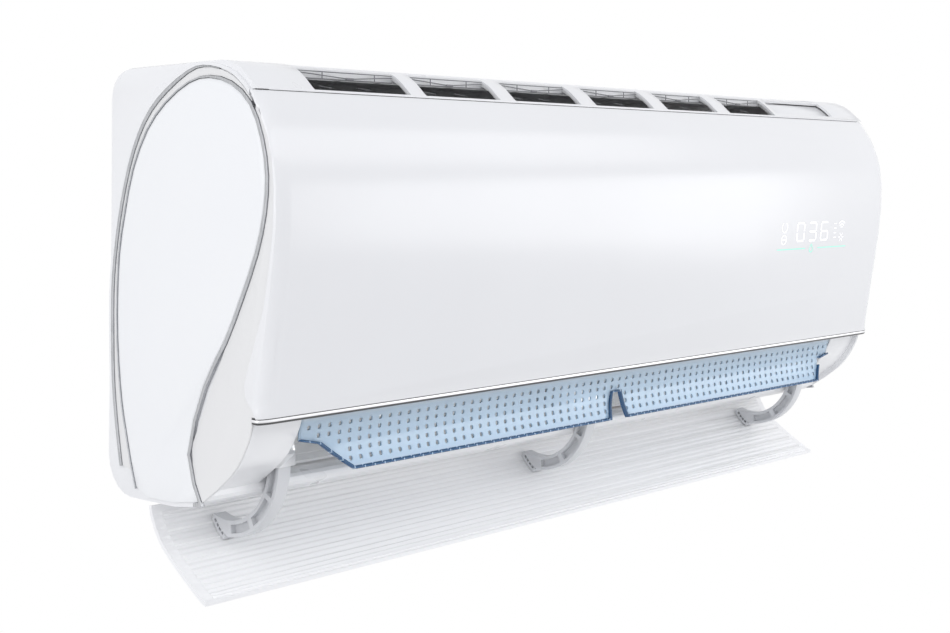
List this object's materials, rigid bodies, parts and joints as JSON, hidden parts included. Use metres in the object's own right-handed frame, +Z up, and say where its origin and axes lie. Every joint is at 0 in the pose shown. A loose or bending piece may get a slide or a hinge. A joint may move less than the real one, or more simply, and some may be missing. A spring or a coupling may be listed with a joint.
{
  "type": "mini split indoor unit",
  "caption": "Wall-hung air conditioner indoor unit with hinged front panel, open lower air flap on curved arms, perforated diffuser vane and slotted top intake.",
  "frame": {"origin": "on the back of the wall plate, at the middle of the unit's width", "axes": "+X to the unit's right as seen from the room, +Y into the wall, +Z up"},
  "size_m": [0.88, 0.2297, 0.4135],
  "materials": {
    "gloss": "polished white moulding",
    "satin": "satin white moulding",
    "wing": "pale grey satin moulding",
    "silver": "brushed silver trim",
    "vane": "tinted translucent moulding",
    "fins": "coated fin stock",
    "copper": "drawn copper tube",
    "brass": "machined",
    "steel": "zinc plated",
    "dark": "dark moulding",
    "board": "coated circuit board",
    "net": "fine net in a moulded frame"
  },
  "bodies": {
    "housing": {"wall_plate": "steel", "rear_chassis": "satin", "front_frame": "gloss", "intake_grille": "gloss", "end_cap_left": "satin", "end_cap_right": "satin", "side_trim_left": "silver", "side_trim_right": "silver", "rear_trim_left": "silver", "rear_trim_right": "silver", "side_wing_left": "wing", "side_wing_right": "wing", "side_band_left": "wing", "side_band_right": "wing", "evaporator_front": "fins", "evaporator_top": "fins", "evaporator_rear": "fins", "coil_tube": "copper", "drain_pan": "satin", "fan_bearing": "dark", "fan_motor": "steel", "motor_bracket": "satin", "control_box": "dark", "control_board": "board", "terminal_block": "satin", "liquid_pipe": "copper", "gas_pipe": "copper", "liquid_flare_nut": "brass", "gas_flare_nut": "brass", "pipe_clip": "satin", "filter_left": "net", "filter_right": "net", "arm_guide_left": "satin", "arm_guide_centre": "satin", "arm_guide_right": "satin", "swing_rail_left": "dark", "swing_rail_right": "dark"},
    "front_cover": {"front_panel": "gloss", "panel_trim": "silver", "display_board": "board"},
    "fan": {"crossflow_fan": "dark", "fan_shaft": "steel"},
    "air_flap": {"flap": "gloss", "flap_arm_left": "satin", "flap_arm_centre": "satin", "flap_arm_right": "satin"},
    "diffuser": {"diffuser_vane": "vane"},
    "button": {"manual_button": "satin"},
    "blade_left_1": {"swing_blade_left_1": "satin"},
    "blade_left_2": {"swing_blade_left_2": "satin"},
    "blade_left_3": {"swing_blade_left_3": "satin"},
    "blade_left_4": {"swing_blade_left_4": "satin"},
    "blade_left_5": {"swing_blade_left_5": "satin"},
    "tie_left": {"tie_bar_left": "dark"},
    "blade_right_1": {"swing_blade_right_1": "satin"},
    "blade_right_2": {"swing_blade_right_2": "satin"},
    "blade_right_3": {"swing_blade_right_3": "satin"},
    "blade_right_4": {"swing_blade_right_4": "satin"},
    "blade_right_5": {"swing_blade_right_5": "satin"},
    "tie_right": {"tie_bar_right": "dark"}
  },
  "joints": [
    {"name": "panel_hinge", "type": "hinge", "parent": "housing", "child": "front_cover", "pos_m": [0, -0.2006, 0.1459], "axis": [-1, 0, 0], "range_deg": [0, 45]},
    {"name": "fan_spin", "type": "hinge", "parent": "housing", "child": "fan", "pos_m": [0, -0.108, -0.005], "axis": [1, 0, 0], "continuous": true},
    {"name": "flap_swing", "type": "hinge", "parent": "housing", "child": "air_flap", "pos_m": [0, -0.093, -0.137], "axis": [1, 0, 0], "range_deg": [-85, 0]},
    {"name": "diffuser_swing", "type": "hinge", "parent": "housing", "child": "diffuser", "pos_m": [0, -0.192, -0.092], "axis": [1, 0, 0], "range_deg": [0, 42]},
    {"name": "button_press", "type": "slide", "parent": "housing", "child": "button", "axis": [0, 1, 0], "range_m": [0, 0.0015], "stiffness_N_per_m": 400},
    {"name": "swing_left_1", "type": "hinge", "parent": "housing", "child": "blade_left_1", "pos_m": [-0.31, -0.128, -0.084], "axis": [0, -0.7385, 0.6743], "range_deg": [-30, 30]},
    {"name": "swing_left_2", "type": "hinge", "parent": "housing", "child": "blade_left_2", "pos_m": [-0.248, -0.128, -0.084], "axis": [0, -0.7385, 0.6743], "range_deg": [-30, 30]},
    {"name": "swing_left_3", "type": "hinge", "parent": "housing", "child": "blade_left_3", "pos_m": [-0.186, -0.128, -0.084], "axis": [0, -0.7385, 0.6743], "range_deg": [-30, 30]},
    {"name": "swing_left_4", "type": "hinge", "parent": "housing", "child": "blade_left_4", "pos_m": [-0.124, -0.128, -0.084], "axis": [0, -0.7385, 0.6743], "range_deg": [-30, 30]},
    {"name": "swing_left_5", "type": "hinge", "parent": "housing", "child": "blade_left_5", "pos_m": [-0.062, -0.128, -0.084], "axis": [0, -0.7385, 0.6743], "range_deg": [-30, 30]},
    {"name": "tie_left_pivot", "type": "hinge", "parent": "blade_left_3", "child": "tie_left", "pos_m": [-0.186, -0.11991, -0.07514], "axis": [0, -0.7385, 0.6743], "range_deg": [-30, 30]},
    {"name": "swing_right_1", "type": "hinge", "parent": "housing", "child": "blade_right_1", "pos_m": [0.062, -0.128, -0.084], "axis": [0, -0.7385, 0.6743], "range_deg": [-30, 30]},
    {"name": "swing_right_2", "type": "hinge", "parent": "housing", "child": "blade_right_2", "pos_m": [0.122, -0.128, -0.084], "axis": [0, -0.7385, 0.6743], "range_deg": [-30, 30]},
    {"name": "swing_right_3", "type": "hinge", "parent": "housing", "child": "blade_right_3", "pos_m": [0.182, -0.128, -0.084], "axis": [0, -0.7385, 0.6743], "range_deg": [-30, 30]},
    {"name": "swing_right_4", "type": "hinge", "parent": "housing", "child": "blade_right_4", "pos_m": [0.242, -0.128, -0.084], "axis": [0, -0.7385, 0.6743], "range_deg": [-30, 30]},
    {"name": "swing_right_5", "type": "hinge", "parent": "housing", "child": "blade_right_5", "pos_m": [0.3, -0.128, -0.084], "axis": [0, -0.7385, 0.6743], "range_deg": [-30, 30]},
    {"name": "tie_right_pivot", "type": "hinge", "parent": "blade_right_3", "child": "tie_right", "pos_m": [0.182, -0.11991, -0.07514], "axis": [0, -0.7385, 0.6743], "range_deg": [-30, 30]}
  ],
  "couplings": [
    {"joint": "diffuser_swing", "follows": "flap_swing", "ratio": -0.4941},
    {"joint": "swing_left_1", "follows": "swing_left_3", "ratio": 1},
    {"joint": "swing_left_2", "follows": "swing_left_3", "ratio": 1},
    {"joint": "swing_left_4", "follows": "swing_left_3", "ratio": 1},
    {"joint": "swing_left_5", "follows": "swing_left_3", "ratio": 1},
    {"joint": "tie_left_pivot", "follows": "swing_left_3", "ratio": -1},
    {"joint": "swing_right_1", "follows": "swing_right_3", "ratio": 1},
    {"joint": "swing_right_2", "follows": "swing_right_3", "ratio": 1},
    {"joint": "swing_right_4", "follows": "swing_right_3", "ratio": 1},
    {"joint": "swing_right_5", "follows": "swing_right_3", "ratio": 1},
    {"joint": "tie_right_pivot", "follows": "swing_right_3", "ratio": -1}
  ]
}
